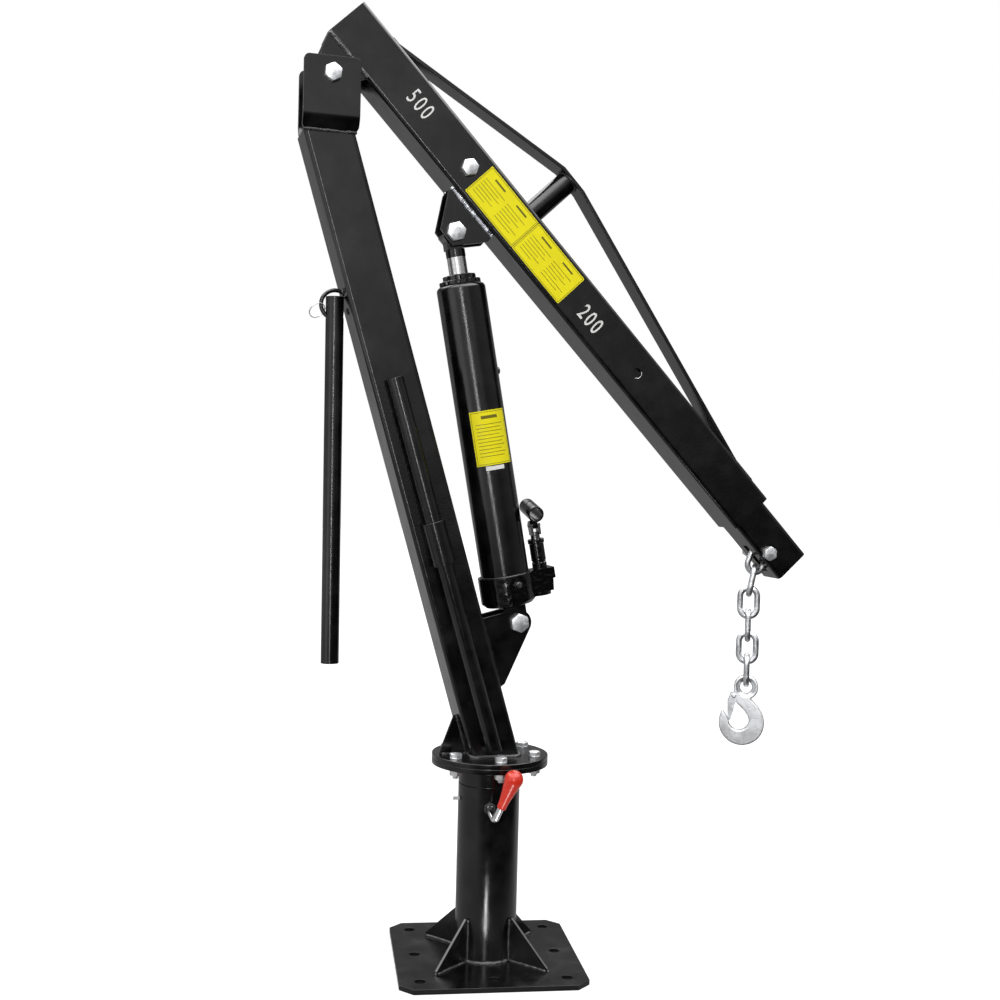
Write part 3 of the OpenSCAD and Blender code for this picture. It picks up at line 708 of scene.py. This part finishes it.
def mast_welds():
    """Beads at the mast's foot, its gusset, the jack brackets, the ears and the sleeve."""
    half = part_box("mast_tube")[1].y
    corner = 6 * MM
    sunk = 2 * MM
    front, back = mast_line(foot.z), mast_line(foot.z, back=True)
    outline = [(front, -half + corner), (front, half - corner), (front - corner, half),
               (back + corner, half), (back, half - corner), (back, -half + corner),
               (back + corner, -half), (front - corner, -half)]
    bead("crane", [Vector((x, y, foot.z)) for x, y in outline], 4.2 * MM, closed=True)
    low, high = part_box("mast_foot_gusset")
    for side in (low.y, high.y):
        bead("crane", [Vector((low.x + 3 * MM, side, foot.z)), Vector((back, side, foot.z)),
                       Vector((mast_line(high.z, True), side, high.z))], THIN)
    low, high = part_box("jack_brackets")
    for side in (low.y, high.y):
        heights = (low.z, high.z - 16 * MM)
        bead("crane", [Vector((mast_line(z) + 0.6 * MM, side, z)) for z in heights], 2.5 * MM)
    for node in ("ear_near", "ear_far"):
        low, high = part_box(node)
        side = math.copysign(half - 1.2 * MM, low.y + high.y)
        bead("crane", [Vector((x, side, low.z)) for x in (low.x + 2 * MM, high.x - 2 * MM)],
             3.2 * MM)
    low, high = span("pipe_sleeve", MAST)
    middle = (low.x + high.x) / 2
    for x in (middle - 9 * MM, middle + 9 * MM):
        line_bead("crane", MAST, (x, -half - sunk, low.z + 4 * MM),
                  (x, -half - sunk, high.z - 4 * MM), THIN)


def hook_welds():
    """Beads where the ends of the bent rod meet the back of the mast."""
    low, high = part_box("handle_hook")
    wire = (high.y - low.y) / 2
    radius = (high.z - low.z) / 2 - wire
    middle = Vector((low.x + wire + radius, 0, (low.z + high.z) / 2))
    for start, end in ((0, 90), (-90, 0)):
        crossings = []
        for degrees in range(start, end):
            a = math.radians(degrees)
            point = middle + radius * Vector((math.cos(a), 0, math.sin(a)))
            crossings.append((abs(point.x - mast_line(point.z, True)), point))
        spot = min(crossings, key=lambda pair: pair[0])[1]
        ring = axes(spot, MAST.to_3x3() @ X, Y)
        ring_bead("crane", ring, wire + 0.4 * MM, 0, 1.8 * MM, steps=20)


def boom_welds():
    """Beads of the lugs, the clevis, the brace bar's ends and the strut."""
    low, high = span("boom_tube", BOOM)
    first, last = span("boom_lugs", BOOM)
    z = low.z + 1.6 * MM
    for y in (2.2 * MM - high.y, high.y - 2.2 * MM):
        line_bead("boom", BOOM, (first.x, y, z), (last.x + 2 * MM, y, z), 4 * MM)
    first, last = span("clevis_plates", BOOM)
    for side in (first.y, last.y):
        line_bead("boom", BOOM, (first.x - 1 * MM, side, low.z), (last.x - 1 * MM, side, low.z),
                  5.2 * MM, "bare_weld")
    first, last = span("brace_bar", BOOM)
    z = high.z + 1 * MM
    for x in (first.x - 0.5 * MM, last.x + 0.5 * MM):
        line_bead("boom", BOOM, (x, first.y, z), (x, last.y, z), 2.8 * MM)
    held = 16 * MM
    for side in (first.y, last.y):
        for x in (first.x, last.x - held):
            line_bead("boom", BOOM, (x, side, high.z), (x + held, side, high.z), 2.4 * MM)
    first, last = span("brace_strut", BOOM)
    strut = BOOM @ Matrix.Translation(((first.x + last.x) / 2, 0, 0))
    for height in (first.z, last.z):
        ring_bead("boom", strut, last.y, height, 2.4 * MM)


def jack_welds():
    base_top = span("jack_base", JACK)[1].z
    radius = span("jack_cylinder", JACK)[1].y
    ring_bead("jack", JACK, radius + 0.3 * MM, base_top, 1.5 * MM)
    first, last = span("jack_tang", JACK)
    for side in (first.y, last.y):
        line_bead("jack", JACK, (first.x + 2 * MM, side, last.z), (last.x - 2 * MM, side, last.z),
                  2.4 * MM)


def weld_pieces():
    for (body, look), shape in welds.items():
        piece(f"{body}_{look}_beads", shape, body, look, angle=70)


# ---- jack ------------------------------------------------------------


def notched(shape, matrix, radius, low, high, notches, depth, phase):
    """Ring nut: a round disc with spanner notches cut into its rim."""
    steps = notches * 8
    chamfer = 0.8 * MM

    def rim(height, inset):
        ring = []
        for i in range(steps):
            a = 2 * math.pi * i / steps + phase
            size = radius - inset - (depth if i % 8 in (0, 1, 2) else 0)
            ring.append(matrix @ Vector((size * math.cos(a), size * math.sin(a), height)))
        return ring

    shape.rings([rim(low, chamfer), rim(low + chamfer, 0), rim(high - chamfer, 0),
                 rim(high, chamfer)])


def gland():
    """Gland nut in two notched steps, with the ram's wiper on top."""
    low, high = span("gland_nut", JACK)
    step = low.z + 7 * MM
    upper, wiper = 26.5 * MM, 18 * MM
    shape = Shape()
    notched(shape, JACK, high.y, low.z, step, 12, 2 * MM, 0.1)
    notched(shape, JACK, upper, step, high.z - 1 * MM, 8, 2.2 * MM, 0.35)
    shape.lathe(JACK, [(wiper + 3 * MM, high.z - 1.5 * MM), (wiper + 2.4 * MM, high.z),
                       (wiper, high.z), (wiper - 2 * MM, high.z - 1 * MM)])
    return piece("gland_nut_notched", shape, "jack", "paint", ["gland_nut"])


def release_valve():
    """Knurled screw, in its pocket at the front of the base."""
    low, high = span("release_valve", JACK)
    middle = JACK @ Vector(((low.x + high.x) / 2, low.y, (low.z + high.z) / 2))
    outward = axes(middle, Y, JACK.to_3x3() @ X)
    radius = (high.x - low.x) / 2
    rim = radius * 0.93
    teeth = 0.07
    shape = Shape()

    def knurl(height, size):
        return [outward @ (p * (1 + teeth * (i % 2))) + outward.to_3x3() @ Z * height
                for i, p in enumerate(circle(size, 0, 40))]

    shape.rings([knurl(0.8 * MM, radius * 0.8), knurl(1.6 * MM, rim), knurl(high.y - low.y, rim)])
    shape.lathe(outward, [(radius * 0.55, 0), (radius * 0.6, 0.9 * MM)], steps=24)
    return piece("release_valve_knurled", shape, "jack", "oiled", ["release_valve"])


def pump_cylinder():
    """Pump barrel with a groove low down and a collar at its top."""
    low, high = span("pump_cylinder", JACK)
    middle = JACK @ Matrix.Translation(((low.x + high.x) / 2, 0, 0))
    collar, barrel = (high.x - low.x) / 2, 12 * MM
    groove, edge = barrel - 1 * MM, collar - 0.8 * MM
    shape = Shape()
    shape.lathe(middle, [(barrel, low.z), (barrel, low.z + 9 * MM), (groove, low.z + 10 * MM),
                         (groove, low.z + 12 * MM), (barrel, low.z + 13 * MM),
                         (barrel, high.z - 7.5 * MM), (edge, high.z - 7 * MM),
                         (collar, high.z - 6.2 * MM), (collar, high.z - 0.8 * MM), (edge, high.z)])
    return piece("pump_cylinder_turned", shape, "jack", "enamel", ["pump_cylinder"])


def filler_plug():
    """Rubber plug on the side of the jack's body."""
    radius = span("jack_cylinder", JACK)[1].x
    height, size = 402.6 * MM, 6 * MM
    spot = JACK @ Vector((radius - 0.5 * MM, 0, height))
    shape = Shape()
    shape.lathe(axes(spot, JACK.to_3x3() @ X, Y),
                [(size, 0), (size, 2.4 * MM), (size - 0.8 * MM, 3.4 * MM),
                 (size - 2.4 * MM, 4.2 * MM), (size - 4 * MM, 4.5 * MM)], steps=32)
    return piece("filler_plug", shape, "jack", "paint")


# ---- labels: bare films with a border and ruled lines ----------------


FILM = 0.25 * MM
TAG = 0.22 * MM
FLAT_INK = 0.12 * MM
CURVED_INK = 0.1 * MM
ROW = 5.6 * MM  # from one ruled line to the next


def flat_film(name, body, matrix, width, height, look):
    """Thin film with rounded corners, centred on the matrix and standing along its Z."""
    corner, steps = 1.2 * MM, 4
    outline = []
    for quarter, (sx, sy) in enumerate(((1, 1), (-1, 1), (-1, -1), (1, -1))):
        for i in range(steps + 1):
            a = math.pi / 2 * (quarter + i / steps)
            outline.append((sx * (width / 2 - corner) + corner * math.cos(a),
                            sy * (height / 2 - corner) + corner * math.sin(a)))
    shape = Shape()
    shape.plate(matrix, outline, FILM)
    return piece(name, shape, body, look)


def frame_rows(width, height, inset, line):
    """Four bars of a border, each given as (x0, y0, x1, y1)."""
    x, y = width / 2 - inset, height / 2 - inset
    return [(-x, -y, x, -y + line), (-x, y - line, x, y),
            (-x, -y + line, -x + line, y - line), (x - line, -y + line, x, y - line)]


def boom_film(name, centre, width, height):
    """Yellow film on the boom's near face, with ruled lines in two columns."""
    columns, lines, margin = 2, 6, 5 * MM
    bar, bar_top, bar_foot = 12 * MM, height / 2 - 9 * MM, height / 2 - 12 * MM
    first_line, line = height / 2 - 21 * MM, 0.8 * MM
    low, high = span("boom_tube", BOOM)
    flat = BOOM @ Matrix.Translation((centre, low.y, (low.z + high.z) / 2 - 0.5 * MM))
    flat = flat @ Matrix.Rotation(math.pi / 2, 4, "X")
    flat_film(name, "boom", flat, width, height, "yellow")
    rows = frame_rows(width, height, 1.6 * MM, 0.7 * MM)
    column = (width - 2 * margin) / columns
    for k in range(columns):
        x = -width / 2 + margin + k * column
        middle = x + column / 2
        rows.append((middle - bar, bar_foot, middle + bar, bar_top))
        for i in range(lines):
            y = first_line - i * ROW
            short = (0, 9, 3, 14, 6, 20)[(i + 2 * k) % 6] * MM
            rows.append((x + 2 * MM, y, x + column - 4 * MM - short, y + line))
    shape = Shape()
    over = flat @ Matrix.Translation((0, 0, FILM))
    for x0, y0, x1, y1 in rows:
        shape.plate(over, [(x0, y0), (x1, y0), (x1, y1), (x0, y1)], FLAT_INK)
    return piece(name + "_rules", shape, "boom", "ink")


def curved_patch(shape, radius, a0, a1, t0, t1, thickness=CURVED_INK):
    """Piece of a sheet around the jack's axis, between two angles and two heights."""
    steps = max(2, int(abs(a1 - a0) / math.radians(3)))
    outer = radius + thickness
    rings = []
    for i in range(steps + 1):
        a = a0 + (a1 - a0) * i / steps
        rings.append([JACK @ Vector((r * math.cos(a), r * math.sin(a), t))
                      for r, t in ((radius, t0), (outer, t0), (outer, t1), (radius, t1))])
    shape.rings(rings)


def jack_film():
    """Yellow film with a white tag under it, on the front of the jack."""
    radius = span("jack_cylinder", JACK)[1].y + 0.05 * MM
    left, right = math.radians(-131.5), math.radians(-38.5)
    low, high = 256.6 * MM, 343 * MM
    film = Shape()
    curved_patch(film, radius, left, right, low, high, FILM)
    piece("jack_film", film, "jack", "yellow")
    ink = Shape()
    over = radius + FILM
    line, lines, border = 0.7 * MM, 10, 2 * MM
    edge, inset = line / radius, border / radius
    for t in (low + border, high - border - line):
        curved_patch(ink, over, left + inset, right - inset, t, t + line)
    for a in (left + inset, right - inset - edge):
        curved_patch(ink, over, a, a + edge, low + border, high - border)
    curved_patch(ink, over, left + 9 * inset, right - 9 * inset, high - 13 * MM, high - 8 * MM)
    for i in range(lines):
        t = high - 22 * MM - i * ROW
        short = (3, 8, 5, 12)[i % 4] * MM / radius
        curved_patch(ink, over, left + 4 * inset, right - 3 * inset - short, t, t + 0.9 * MM)
    piece("jack_film_rules", ink, "jack", "ink")
    tag = Shape()
    curved_patch(tag, radius, math.radians(-111), math.radians(-65.5), low - 8 * MM,
                 low - 1.6 * MM, TAG)
    piece("jack_tag", tag, "jack", "tag")


def stencil(name, figures, start, rise, stroke):
    """White, narrow plain figures on the boom's near face."""
    height, narrow = 27 * MM, 0.66
    capitals = 0.72  # share of the font's size that a figure is high
    proud = 0.04 * MM
    low, high = span("boom_tube", BOOM)
    words = bpy.data.curves.new(name, "FONT")
    words.body = figures
    words.size = height / capitals
    words.space_character = 1.3
    words.extrude = 0.06 * MM
    words.offset = stroke
    words.align_y = "CENTER"
    raw = new_object(name + "_raw", words)
    graph = bpy.context.evaluated_depsgraph_get()
    mesh = bpy.data.meshes.new_from_object(raw.evaluated_get(graph))
    bpy.data.objects.remove(raw)
    middle = (low.z + high.z) / 2 + rise
    flat = BOOM @ Matrix.Translation((start, low.y - proud, middle))
    mesh.transform(flat @ Matrix.Rotation(math.pi / 2, 4, "X") @ Matrix.Scale(narrow, 4, X))
    return place(new_object(name, mesh), "boom", "white")


def hole_edge_highlight():
    """Bright metal arc on the boom's spare bolt hole: its edge is bare of paint, and only the side that catches
    the light is drawn, as a painted highlight.
    """
    face = span("boom_tube", BOOM)[0].y
    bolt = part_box("extension_bolt")
    first = BOOM.inverted() @ ((bolt[0] + bolt[1]) / 2)
    travel = joints["boom_extend"]["range_m"][1]
    spot = BOOM @ Vector((first.x + travel, face + 0.2 * MM, first.z))
    along, up = BOOM.to_3x3() @ X, BOOM.to_3x3() @ Z
    radius, wire = 8.4 * MM, 0.45 * MM
    # the arc spans only the lit side of the hole's edge: a painted highlight
    path = [spot + radius * (math.cos(a) * along + math.sin(a) * up)
            for a in (math.radians(degrees) for degrees in range(-65, 70, 5))]
    shape = Shape()
    shape.tube(path, wire, sides=8)
    return piece("hole_edge_highlight_arc", shape, "boom", "zinc")


# ---- stored handle, clamp lever and rings ----------------------------


def split_ring():
    """Key ring of two turns of flat-lying wire."""
    low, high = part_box("split_ring")
    middle = (low + high) / 2
    wire, radius = 0.75 * MM, 13 * MM
    swung, tipped = math.radians(-30), math.radians(136)
    plane = Matrix.Rotation(swung, 4, "Y") @ Matrix.Rotation(tipped, 4, "X")
    plane = Matrix.Translation(middle) @ plane
    path = []
    turns, steps = 2, 64
    for i in range(turns * steps + 1):
        a = 2 * math.pi * i / steps
        lift = (i / (turns * steps) - 0.5) * 2 * wire
        path.append(plane @ Vector((radius * math.cos(a), radius * math.sin(a), lift)))
    shape = Shape()
    shape.tube(path, wire, sides=10)
    return piece("split_ring_coiled", shape, "crane", "zinc", ["split_ring"])


def bend(points, rounding, steps=8):
    """Path through points with its corners rounded."""
    path = [points[0]]
    for before, here, after in zip(points, points[1:], points[2:]):
        into = here + (before - here).normalized() * rounding
        out = here + (after - here).normalized() * rounding
        for i in range(steps + 1):
            k = i / steps
            path.append(into.lerp(here, k).lerp(here.lerp(out, k), k))
    return path + [points[-1]]


# the clamp lever's line from its screw to its knob, in CLAMP
CLAMP_ELBOW = Vector((70, 0, 0)) * MM
CLAMP_BEND = Vector((86, 6, -10)) * MM
CLAMP_TIP = Vector((96, 17, 18)) * MM
CLAMP_KNOB = Vector((112, 32.4, 61.6)) * MM


def clamp_lever():
    """Bent chromed rod with a threaded end in the post."""
    radius = 5.25 * MM
    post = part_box("post_tube")[1].x
    inside = span("clamp_lever", CLAMP)[0].x
    end = CLAMP_TIP.lerp(CLAMP_KNOB, 0.3)
    corners = [Vector((post + 4 * MM, 0, 0)), CLAMP_ELBOW, CLAMP_BEND, end]
    path = [CLAMP @ p for p in bend(corners, 7 * MM)]
    shape = Shape()
    shape.tube(path, radius, sides=28)
    across = axes(CLAMP @ Vector((inside, 0, 0)), CLAMP.to_3x3() @ X, Z)
    shape.lathe(across, thread(radius, 0, post + 6 * MM - inside), steps=28)
    return piece("clamp_lever_bent", shape, "clamp", "chrome", ["clamp_lever"], angle=45)


def clamp_grip():
    """Tapered grip with a ball end and a lip at its mouth."""
    ahead = (CLAMP_KNOB - CLAMP_TIP).normalized()
    length = (CLAMP_KNOB - CLAMP_TIP).length
    thin, ball, hollow = 7 * MM, 14.5 * MM, 0.5 * MM
    taper_steps, ball_steps = 12, 18
    lean = math.asin((ball - thin) / length)
    profile = [(5.3 * MM, -5.2 * MM), (6.4 * MM, -5.6 * MM), (7.4 * MM, -4.8 * MM),
               (7.5 * MM, -2.4 * MM)]
    start = (thin * math.cos(lean), -thin * math.sin(lean))
    finish = (ball * math.cos(lean), length - ball * math.sin(lean))
    for i in range(1, taper_steps + 1):
        k = i / taper_steps
        waist = -hollow * math.sin(math.pi * k)
        profile.append((start[0] + k * (finish[0] - start[0]) + waist,
                        start[1] + k * (finish[1] - start[1])))
    for i in range(1, ball_steps + 1):
        a = -lean + (math.pi / 2 + lean) * i / ball_steps
        profile.append((max(ball * math.cos(a), 0.1 * MM), length + ball * math.sin(a)))
    shape = Shape()
    shape.lathe(CLAMP @ axes(CLAMP_TIP, ahead, Z), profile, steps=56)
    return piece("clamp_grip_moulded", shape, "clamp", "red", ["clamp_grip"], angle=60)


def clamp_boss():
    """Rough weld around the clamp screw's hole in the post."""
    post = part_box("post_tube")[1].x
    mouth = axes(CLAMP @ Vector((post, 0, 0)), CLAMP.to_3x3() @ X, Z)
    ring_bead("root", mouth, 7.6 * MM, 0.4 * MM, 2.2 * MM, steps=36)


# ---- scene -----------------------------------------------------------

def heading(degrees):
    """Level direction with an angle from +X."""
    return (math.cos(math.radians(degrees)), math.sin(math.radians(degrees)), 0)


FRONT = heading(-100)
RIGHT = heading(-62)
LEFT = heading(-158)


def studio_floor():
    """White floor to the camera; to other rays it is dim, and bright far out on the left."""
    size = 14.0
    white, glow = 0.8, 0.42
    mesh = bpy.data.meshes.new("floor")
    mesh.from_pydata([(-size, -size, 0), (size, -size, 0), (size, size, 0), (-size, size, 0)],
                     [], [(0, 1, 2, 3)])
    floor = new_object("floor", mesh)
    material = bpy.data.materials.new("pale_floor")
    material.use_nodes = True
    material.node_tree.nodes.clear()
    graph = Graph(material.node_tree)
    spot = graph.node("ShaderNodeTexCoord").outputs["Object"]
    camera_ray = graph.node("ShaderNodeLightPath").outputs["Is Camera Ray"]
    near_right = graph.spread(graph.toward(spot, RIGHT), 0.1, 0.45, 0.4, 0.02)
    far_left = graph.spread(graph.toward(spot, LEFT), 1.5, 4.0, 0.0, 0.8)
    shade = graph.math("MAXIMUM", near_right, far_left)
    diffuse = graph.node("ShaderNodeBsdfDiffuse")
    graph.link(graph.blend(camera_ray, shade, white), diffuse.inputs["Color"])
    lift = graph.node("ShaderNodeEmission")
    graph.link(graph.math("MULTIPLY", camera_ray, glow), lift.inputs["Strength"])
    both = graph.node("ShaderNodeAddShader")
    graph.link(diffuse.outputs[0], both.inputs[0])
    graph.link(lift.outputs[0], both.inputs[1])
    out = graph.node("ShaderNodeOutputMaterial")
    graph.link(both.outputs[0], out.inputs["Surface"])
    mesh.materials.append(material)


def surroundings():
    """White room, darker low down in front; mirrored, it also has dim walls and a bright ceiling."""
    world = bpy.data.worlds.new("studio")
    bpy.context.scene.world = world
    world.use_nodes = True
    world.node_tree.nodes.clear()
    graph = Graph(world.node_tree)
    way = graph.node("ShaderNodeTexCoord").outputs["Generated"]
    parts = graph.node("ShaderNodeSeparateXYZ")
    graph.link(way, parts.inputs["Vector"])
    height = parts.outputs["Z"]
    front = graph.toward(way, FRONT)

    def smooth(*levels):
        return graph.spread(*levels, kind="SMOOTHSTEP")

    side = smooth(front, -0.3, 0.3, 0.0, 1.0)
    wall = smooth(height, -0.2, 0.3, 0.02, 0.95)
    reach = smooth(front, 0.8, 0.96, 0.4, 1.25)
    behind = smooth(height, 0.0, 0.4, 0.25, 0.19)
    left = smooth(graph.toward(way, LEFT), 0.5, 0.95, 0.0, 0.45)
    ceiling = smooth(height, 0.45, 0.75, 0.0, 5.0)
    walls = graph.math("ADD", graph.blend(side, behind, graph.math("MULTIPLY", wall, reach)), left)
    mirrored = graph.math("ADD", walls, ceiling)
    plain = graph.blend(side, 1.0, wall)
    path = graph.node("ShaderNodeLightPath")
    room = graph.blend(path.outputs["Is Glossy Ray"], plain, mirrored)
    back = graph.node("ShaderNodeBackground")
    back.inputs["Color"].default_value = (1, 1, 1, 1)
    graph.link(graph.blend(path.outputs["Is Camera Ray"], room, 1.0), back.inputs["Strength"])
    out = graph.node("ShaderNodeOutputWorld")
    graph.link(back.outputs[0], out.inputs["Surface"])


def lamp(name, azimuth, distance, height, width, tall, power):
    """Soft panel that faces the middle of the crane."""
    light = bpy.data.lights.new(name, "AREA")
    light.shape = "RECTANGLE"
    light.size = width
    light.size_y = tall
    light.energy = power
    thing = bpy.data.objects.new(name, light)
    thing.visible_camera = False
    bpy.context.collection.objects.link(thing)
    at = distance * Vector(heading(azimuth)) + height * Z
    middle = Vector((0, 0, 0.75))
    thing.matrix_world = axes(at, at - middle, Z.cross(at - middle))


def camera():
    """Camera at the angle from which the crane is meant to be seen first."""
    at = Vector((-0.5854, -2.0578, 0.7952))
    yaw, pitch, roll = (math.radians(a) for a in (-16.04, -1.434, -1.465))
    lens = bpy.data.cameras.new("camera")
    lens.sensor_width = 36.0
    lens.lens = 47.94
    eye = bpy.data.objects.new("camera", lens)
    bpy.context.collection.objects.link(eye)
    level = math.cos(pitch)
    ahead = Vector((-math.sin(yaw) * level, math.cos(yaw) * level, math.sin(pitch)))
    right = Vector((math.cos(yaw), math.sin(yaw), 0))
    up = right.cross(ahead)
    rolled_right = math.cos(roll) * right - math.sin(roll) * up
    rolled_up = math.sin(roll) * right + math.cos(roll) * up
    matrix = Matrix((rolled_right, rolled_up, -ahead)).transposed().to_4x4()
    matrix.translation = at
    eye.matrix_world = matrix
    bpy.context.scene.camera = eye


# ---- build -----------------------------------------------------------

for sub in frame["record"]["subparts"]:
    node = frame["nodes"][sub["node"]]
    node.data.materials.clear()
    node.data.materials.append(looks[CAD_LOOKS[sub["material_slot"]]])

# width of the rounding of each node's edges, in mm
for node, width in (("base_plate", 1.0), ("base_gussets", 0.7), ("lower_flange", 1.0),
                    ("upper_flange", 1.0), ("post_tube", 0.8), ("swivel_collar", 0.8),
                    ("mast_tube", 0.6), ("mast_foot_gusset", 0.7), ("ear_near", 1.0),
                    ("ear_far", 1.0), ("jack_brackets", 0.8), ("boom_tube", 0.8),
                    ("boom_lugs", 0.8), ("clevis_plates", 0.8), ("brace_bar", 1.0),
                    ("inner_boom", 0.8), ("jack_tang", 1.0), ("pipe_sleeve", 0.7),
                    ("stored_pipe", 0.5), ("pump_handle", 0.5), ("ram_head", 0.8)):
    eased(node, width * MM)
eased("jack_base", 1.2 * MM, "enamel")
eased("pump_socket", 0.6 * MM, "enamel")
eased("ram_rod", 0.6 * MM, "dull_chrome")
eased("pump_piston", 0.5 * MM, "oiled")
eased("hook_latch", 0.3 * MM, "galvanised")
softened("hook", 1.0 * MM, 6, "forged")

cross_bolts()
flange_bolts()
stop_screw()
gland()
release_valve()
pump_cylinder()
filler_plug()
split_ring()
clamp_lever()
clamp_grip()
clamp_boss()

base_welds()
swivel_welds()
mast_welds()
hook_welds()
boom_welds()
jack_welds()
weld_pieces()

# places along the boom from its pivot
boom_film("boom_film_rear", 315 * MM, 113 * MM, 60 * MM)
boom_film("boom_film_front", 430 * MM, 115 * MM, 60 * MM)
jack_film()
stencil("boom_figures_rear", "500", 94 * MM, 1 * MM, 0.0)
stencil("boom_figures_front", "200", 519 * MM, -6 * MM, 0.3 * MM)
# painted highlight on the lit side of the spare bolt hole's bare edge
hole_edge_highlight()

surroundings()
studio_floor()
# azimuth in degrees, then distance, height, width and length in metres, and power in watts
lamp("strip_lamp", -108, 3.2, 1.2, 0.22, 2.4, 26)
lamp("side_lamp", -152, 3.0, 0.9, 1.4, 1.8, 5)
lamp("top_lamp", -60, 1.6, 3.4, 2.4, 2.4, 26)
lamp("low_lamp", -106, 0.24, 0.03, 0.03, 0.12, 0.26)
camera()
bpy.context.scene.view_settings.view_transform = "Standard"
